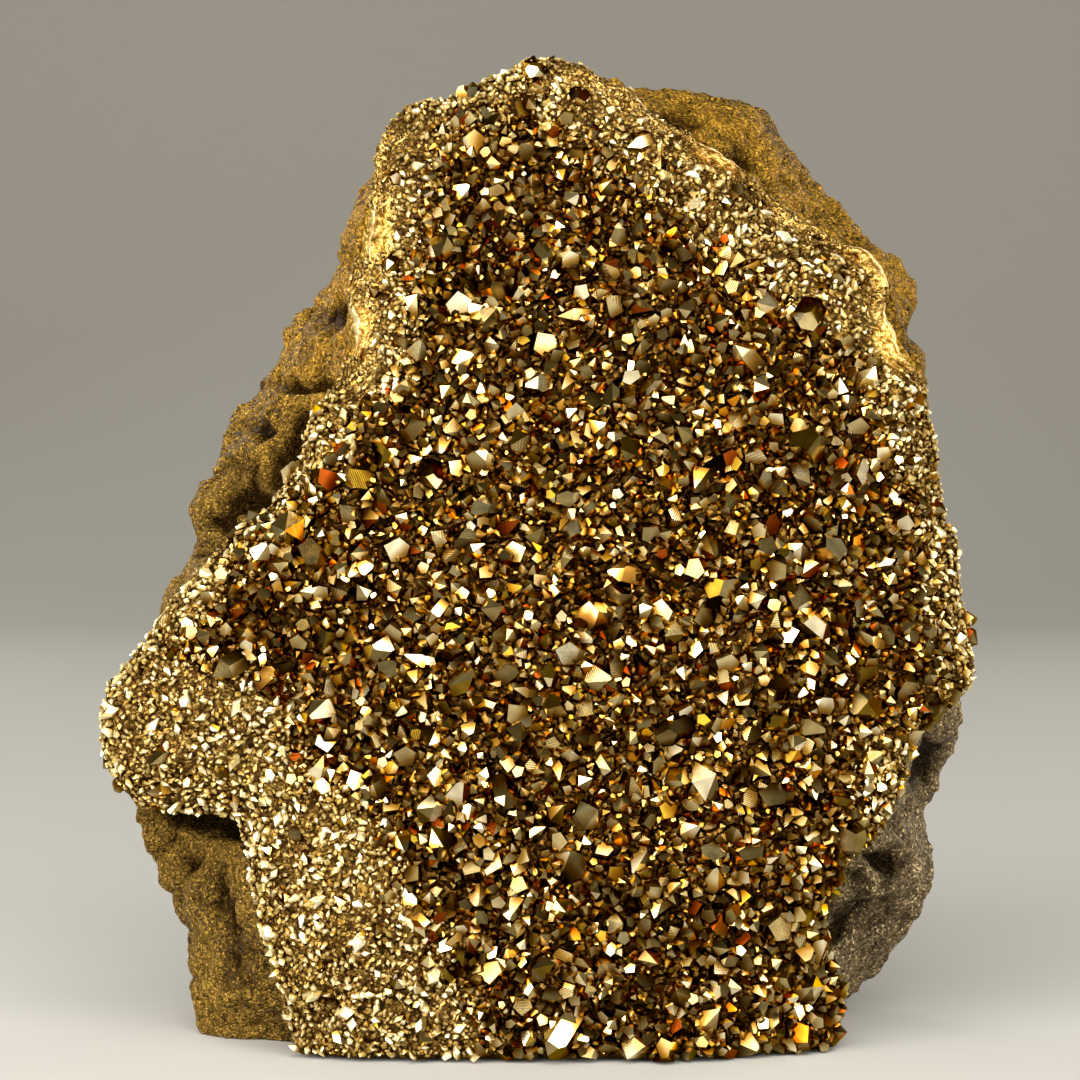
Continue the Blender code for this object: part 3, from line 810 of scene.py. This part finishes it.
def bed_spots(obj, count, chance):
    """Random (place, normal) pairs spread evenly over the outward side of the bed or a lip."""
    mesh = obj.data
    mesh.calc_loop_triangles()
    verts = np.empty(len(mesh.vertices) * 3)
    mesh.vertices.foreach_get("co", verts)
    verts = verts.reshape(-1, 3)
    tris = np.empty(len(mesh.loop_triangles) * 3, int)
    mesh.loop_triangles.foreach_get("vertices", tris)
    a, b, c = (verts[tris.reshape(-1, 3)[:, k]] for k in range(3))
    cross = np.cross(b - a, c - a)
    area = np.linalg.norm(cross, axis=1) / 2
    normal = cross / np.maximum(area[:, None] * 2, 1e-12)
    middle = (a + b + c) / 3
    outward = (normal[:, 1] < 0.3) & (middle[:, 2] > 1.3 * MM) & (normal[:, 2] > -0.97)
    weight = np.where(outward, area, 0)
    picked = chance.choice(len(area), count, p=weight / weight.sum())
    u, v = chance.random((2, count))
    flip = u + v > 1
    u[flip], v[flip] = 1 - u[flip], 1 - v[flip]
    place = a[picked] + (b - a)[picked] * u[:, None] + (c - a)[picked] * v[:, None]
    vertex_normal = np.empty(len(mesh.vertices) * 3)
    mesh.vertices.foreach_get("normal", vertex_normal)
    smooth = vertex_normal.reshape(-1, 3)[tris.reshape(-1, 3)[picked]].mean(axis=1)
    return place, smooth / np.linalg.norm(smooth, axis=1)[:, None]


class Ground:
    """Remembers where crystals stand, so that the next ones keep their distance."""

    def __init__(self, cell):
        self.cell = cell
        self.held = {}

    def key(self, place):
        return tuple(int(math.floor(c / self.cell)) for c in place)

    def take(self, place, radius):
        self.held.setdefault(self.key(place), []).append((place, radius))

    def free(self, place, radius):
        kx, ky, kz = self.key(place)
        for ix in (kx - 1, kx, kx + 1):
            for iy in (ky - 1, ky, ky + 1):
                for iz in (kz - 1, kz, kz + 1):
                    for other, taken in self.held.get((ix, iy, iz), ()):
                        dx, dy, dz = place[0] - other[0], place[1] - other[1], place[2] - other[2]
                        if dx * dx + dy * dy + dz * dz < (radius + taken) ** 2:
                            return False
        return True


def settle(places, radii, own, before=()):
    """Indices of the spots that are kept, in the order given.

    own is the share of its radius that a crystal claims; before lists earlier
    (places, claimed radii) that these keep clear of.
    """
    widest = float(radii.max()) * own
    widest = max([widest] + [float(claims.max()) for _, claims in before if len(claims)])
    ground = Ground(2 * widest)
    for earlier, claims in before:
        for place, claim in zip(earlier.tolist(), claims.tolist()):
            ground.take(place, claim)
    kept = []
    for i, (place, radius) in enumerate(zip(places.tolist(), (radii * own).tolist())):
        if ground.free(place, radius):
            ground.take(place, radius)
            kept.append(i)
    return np.array(kept, int)


def frames(axes, spin):
    """Rotation matrices whose third column is each axis, turned about it by spin."""
    helper = np.where(np.abs(axes[:, 2:3]) < 0.9, [[0.0, 0.0, 1.0]], [[1.0, 0.0, 0.0]])
    first = np.cross(helper, axes)
    first /= np.linalg.norm(first, axis=1)[:, None]
    second = np.cross(axes, first)
    cos, sin = np.cos(spin)[:, None], np.sin(spin)[:, None]
    return np.stack([first * cos + second * sin, second * cos - first * sin, axes], axis=2)


def grow(name, shapes, places, normals, radii, tilt_deg, stand, clear, stretched, material, chance):
    """One joined mesh of crystals: each is one of the shapes, scaled, leaned and turned.

    stand gives the least and most that the top of the prism stands above the bed, in radii,
    clear the height above the bed at which their painted foot shade ends, and stretched
    the least and most that one of their widths is drawn out.
    """
    count = len(places)
    lean = np.radians(tilt_deg) * np.sqrt(chance.random(count))
    sideways = np.cross(normals, chance.normal(size=(count, 3)))
    sideways /= np.linalg.norm(sideways, axis=1)[:, None]
    axes = normals * np.cos(lean)[:, None] + sideways * np.sin(lean)[:, None]
    turned = frames(axes, chance.uniform(0, math.tau, count))
    out = chance.uniform(stand[0], stand[1], count)
    kinds = chance.integers(0, len(shapes), count)
    all_verts, all_rise, all_loops, all_sizes, all_along = [], [], [], [], []
    offset = 0
    for kind, (verts, faces) in enumerate(shapes):
        chosen = np.nonzero(kinds == kind)[0]
        scale = radii[chosen][:, None, None]
        stretch = chance.uniform(*stretched, len(chosen))
        local = verts[None] * scale
        local[:, :, 2] += out[chosen][:, None] * radii[chosen][:, None]
        local[:, :, 0] *= stretch[:, None]
        world = np.einsum("nij,nkj->nki", turned[chosen], local) + places[chosen][:, None]
        rise = np.einsum("nki,ni->nk", world - places[chosen][:, None], normals[chosen])
        all_verts.append(world.reshape(-1, 3))
        all_rise.append((rise / clear).reshape(-1))
        all_along.append((local[:, :, 2] / MM).reshape(-1))
        flat = np.concatenate([np.array(f) for f in faces])
        sizes = np.array([len(f) for f in faces])
        starts = offset + np.arange(len(chosen)) * len(verts)
        all_loops.append((flat[None] + starts[:, None]).reshape(-1))
        all_sizes.append(np.tile(sizes, len(chosen)))
        offset += len(chosen) * len(verts)
    verts = np.concatenate(all_verts)
    verts[:, 2] = np.maximum(verts[:, 2], 0.15 * MM)
    loops = np.concatenate(all_loops)
    sizes = np.concatenate(all_sizes)
    mesh = bpy.data.meshes.new(name)
    mesh.vertices.add(len(verts))
    mesh.vertices.foreach_set("co", verts.reshape(-1))
    mesh.loops.add(len(loops))
    mesh.loops.foreach_set("vertex_index", loops)
    mesh.polygons.add(len(sizes))
    mesh.polygons.foreach_set("loop_start", np.concatenate([[0], np.cumsum(sizes)[:-1]]))
    mesh.update(calc_edges=True)
    for label in ("facet", "sheen"):
        values = mesh.attributes.new(label, "FLOAT", "FACE")
        values.data.foreach_set("value", chance.random(len(sizes)))
    # rise carries the painted foot shade: 0 at the bed, 1 where the shade ends.
    rise = mesh.attributes.new("rise", "FLOAT", "POINT")
    rise.data.foreach_set("value", np.clip(np.concatenate(all_rise), 0, 1))
    growth = mesh.uv_layers.new(name="growth")
    along = np.concatenate(all_along)[loops]
    growth.data.foreach_set("uv", np.stack([np.zeros(len(along)), along], axis=1).reshape(-1))
    mesh.shade_flat()
    mesh.validate()
    mesh.materials.append(material)
    obj = bpy.data.objects.new(name, mesh)
    bpy.context.scene.collection.objects.link(obj)
    return obj


# One seed, so that each run grows the same druse.
SEED = 21
SPOTS_ON_BED = 90000
SPOTS_ON_LIP = 9000
MOST_LARGE_TRIES = 4000
GRAIN_SLOPE_DEG = 50.0


def make_druse(bed, lips):
    """The bed's crystals: large, middle and small points, then the fine druse and the lips'."""
    chance = np.random.default_rng(SEED)
    points = [read_shape(cut_crystal(6, 1.6, cuts, PYRAMID_DEG)) for cuts in POINT_CUTS.values()]
    grains = [read_shape(cut_crystal(4, 0.9, cuts, GRAIN_SLOPE_DEG)) for cuts in GRAIN_CUTS.values()]
    places, normals = bed_spots(bed, SPOTS_ON_BED, chance)
    fine = fineness(places)
    margin = satin(places)
    smooth = np.array([rimmed(x / MM, z / MM) for x, _, z in places.tolist()])
    bare = chance.random(len(places)) < margin * (0.25 + 0.85 * smooth)
    places, normals, fine, margin = (values[~bare] for values in (places, normals, fine, margin))
    made = []

    # Large points: none in the fine bands, more where they crowd.
    crowd = np.zeros(len(places))
    for x, z, reach in CLUSTERS_MM:
        away = np.hypot(places[:, 0] / MM - x, places[:, 2] / MM - z)
        crowd = np.maximum(crowd, ease(1 - away / reach))
    coarse = np.minimum(1 - fine, 1 - margin)
    wanted = coarse ** 2 * (0.4 + 0.6 * crowd)
    pick = np.nonzero(chance.random(len(places)) < wanted)[0][:MOST_LARGE_TRIES]
    radii = chance.triangular(1.5, 1.8, 3.0, len(pick)) * MM
    kept = settle(places[pick], radii, 0.86)
    large, large_radii = pick[kept], radii[kept]
    made.append(grow("aura_points_large", points, places[large], normals[large], large_radii,
                     38, (-0.5, 0.15), 2.4 * MM, (0.65, 1.45), point_finish, chance))

    # Middle points fill most of the coarse area. A few stand in the fine bands.
    before = [(places[large], large_radii * 0.62)]
    wanted = np.maximum(coarse ** 1.2, 0.006 * (1 - margin))
    pick = np.nonzero(chance.random(len(places)) < wanted)[0]
    radii = chance.triangular(0.85, 1.05, 1.7, len(pick)) * MM
    kept = settle(places[pick], radii, 0.62, before)
    middle, middle_radii = pick[kept], radii[kept]
    made.append(grow("aura_points_middle", points, places[middle], normals[middle], middle_radii,
                     44, (-0.4, 0.4), 2.0 * MM, (0.65, 1.45), point_finish, chance))

    # Small points in the gaps, and where the coarse area fades into the fine bands.
    before.append((places[middle], middle_radii * 0.55))
    pick = np.nonzero(coarse > 0.15)[0]
    radii = chance.triangular(0.4, 0.5, 0.8, len(pick)) * MM
    kept = settle(places[pick], radii, 0.85, before)
    small, small_radii = pick[kept], radii[kept]
    made.append(grow("aura_points_small", points, places[small], normals[small], small_radii,
                     50, (-0.2, 0.9), 1.7 * MM, (0.6, 1.6), small_finish, chance))

    # Fine druse: a few broad grains, then the small ones between them.
    pick = np.nonzero(chance.random(len(places)) < fine * (1 - margin) * 0.006)[0]
    radii = chance.triangular(0.6, 0.8, 1.15, len(pick)) * MM
    kept = settle(places[pick], radii, 0.76, before)
    broad, broad_radii = pick[kept], radii[kept]
    pick = np.nonzero(chance.random(len(places)) < np.maximum(fine, margin) * 1.2)[0]
    radii = chance.triangular(0.26, 0.36, 0.7, len(pick)) * (1 - 0.4 * margin[pick]) * MM
    kept = settle(places[pick], radii, 0.76, [before[0], (places[broad], broad_radii * 0.6)])
    sugar = np.concatenate([places[broad], places[pick[kept]]])
    sugar_normals = np.concatenate([normals[broad], normals[pick[kept]]])
    sugar_radii = np.concatenate([broad_radii, radii[kept]])

    # Sugary grains on the lips, away from their smooth rims.
    for lip in lips:
        lip_places, lip_normals = bed_spots(lip, SPOTS_ON_LIP, chance)
        smooth = np.array([rimmed(x / MM, z / MM) for x, _, z in lip_places.tolist()])
        grainy = chance.random(len(smooth)) > 0.35 + 0.7 * smooth
        pick = np.nonzero(grainy & (lip_normals[:, 1] < -0.2))[0]
        radii = chance.triangular(0.2, 0.28, 0.45, len(pick)) * MM
        kept = settle(lip_places[pick], radii, 0.9, [(sugar, sugar_radii * 0.5)])
        sugar = np.concatenate([sugar, lip_places[pick[kept]]])
        sugar_normals = np.concatenate([sugar_normals, lip_normals[pick[kept]]])
        sugar_radii = np.concatenate([sugar_radii, radii[kept]])
    made.append(grow("fine_druse", grains, sugar, sugar_normals, sugar_radii,
                     58, (-0.1, 1.1), 1.2 * MM, (0.5, 2.4), grain_finish, chance))
    return made


def triangle_count(obj):
    obj.data.calc_loop_triangles()
    return len(obj.data.loop_triangles)


# Put together.

rind = make_rind()
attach(rind, "root")
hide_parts("basalt_rind")

bed = make_bed()
bed.data.materials.append(bed_material())
bed_tree = BVHTree.FromPolygons(
    [v.co for v in bed.data.vertices], [p.vertices for p in bed.data.polygons])

lip_finish = lip_material()
lips = []
for node, inward_sign in (("chalcedony_lip_right", 1), ("chalcedony_lip_left", -1)):
    lip = make_lip(node, bed_tree, inward_sign)
    lip.data.materials.append(lip_finish)
    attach(lip, "root")
    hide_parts(node)
    lips.append(lip)

druse = [bed, *make_druse(bed, lips)]
for piece in druse:
    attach(piece, "root")
    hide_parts("amethyst_crust")


# Floor, light and camera.


# The floor curves up in this many steps of this length.
CURVE_STEPS = 10
CURVE_STEP = 0.1


def make_floor():
    """A pale sheet that lies under the object and curves up far behind it."""
    deselect()
    bpy.ops.mesh.primitive_plane_add(size=3, location=(0, -0.6, -0.0001))
    floor = bpy.context.active_object
    floor.name = "pale_floor"
    bpy.ops.object.transform_apply(location=True, rotation=True, scale=True)
    bpy.ops.object.mode_set(mode="EDIT")
    shape = bmesh.from_edit_mesh(floor.data)
    for edge in shape.edges:
        edge.select = all(v.co.y > 0.8 for v in edge.verts)
    bmesh.update_edit_mesh(floor.data)
    for k in range(CURVE_STEPS):
        angle = math.radians(90 * (k + 0.5) / CURVE_STEPS)
        move = (0, CURVE_STEP * math.cos(angle), CURVE_STEP * math.sin(angle))
        bpy.ops.mesh.extrude_edges_move(TRANSFORM_OT_translate={"value": move})
    bpy.ops.mesh.extrude_edges_move(TRANSFORM_OT_translate={"value": (0, 0, 1.6)})
    bpy.ops.object.mode_set(mode="OBJECT")
    bpy.ops.object.shade_smooth()
    material, _, shader = new_material("pale paper")
    shader.inputs["Base Color"].default_value = (0.43, 0.418, 0.39, 1)
    shader.inputs["Roughness"].default_value = 0.8
    floor.data.materials.append(material)
    floor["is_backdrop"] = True


def soft_box(name, place, size, brightness, colour=(1, 1, 1)):
    """An area light that faces the middle of the object, as bright at any size."""
    light = bpy.data.lights.new(name, "AREA")
    light.shape = "RECTANGLE"
    light.size, light.size_y = size
    light.energy = brightness * math.pi * size[0] * size[1]
    light.color = colour
    obj = bpy.data.objects.new(name, light)
    bpy.context.scene.collection.objects.link(obj)
    obj.location = place
    obj.rotation_euler = (LIT_MIDDLE - Vector(place)).to_track_quat("-Z", "Y").to_euler()


FRONT_BRIGHTNESS = 8
BACK_BRIGHTNESS = 6
WARM = (1.0, 0.97, 0.92)
LIT_MIDDLE = Vector((0, 0, 0.07))

make_floor()
soft_box("left key", (-0.52, -0.62, 0.36), (0.55, 0.55), FRONT_BRIGHTNESS, WARM)
soft_box("right key", (0.55, -0.6, 0.24), (0.45, 0.45), FRONT_BRIGHTNESS, WARM)
soft_box("high front", (0.05, -0.6, 0.62), (0.6, 0.4), FRONT_BRIGHTNESS)
soft_box("over the camera", (0.0, -0.85, 0.36), (0.5, 0.16), FRONT_BRIGHTNESS)
soft_box("low left", (-0.72, -0.45, 0.14), (0.6, 0.45), FRONT_BRIGHTNESS, WARM)
soft_box("behind left", (-0.6, 0.75, 0.5), (0.4, 0.4), BACK_BRIGHTNESS)
soft_box("behind right", (0.7, 0.6, 0.35), (0.4, 0.4), BACK_BRIGHTNESS)

world = bpy.data.worlds.new("studio")
world.use_nodes = True
air = world.node_tree.nodes["Background"]
air.inputs["Color"].default_value = (1.0, 0.91, 0.6, 1)
air.inputs["Strength"].default_value = 0.24
bpy.context.scene.world = world
bpy.context.scene.view_settings.view_transform = "Standard"

# How far the camera stands from the front of the object, and how wide its picture is there.
CAMERA_DISTANCE = 0.55
PICTURE_WIDTH = 0.1588
SENSOR_MM = 36

camera = bpy.data.cameras.new("front camera")
camera.sensor_width = SENSOR_MM
camera.lens = SENSOR_MM * CAMERA_DISTANCE / PICTURE_WIDTH
camera_object = bpy.data.objects.new("front camera", camera)
bpy.context.scene.collection.objects.link(camera_object)
front = cad_low.y
camera_object.location = (-0.0007, front - CAMERA_DISTANCE, 0.105)
aim = Vector((-0.0007, front, 0.0786))
camera_object.rotation_euler = (aim - camera_object.location).to_track_quat("-Z", "Y").to_euler()
bpy.context.scene.camera = camera_object

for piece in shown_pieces():
    print(piece.name, triangle_count(piece), "triangles")
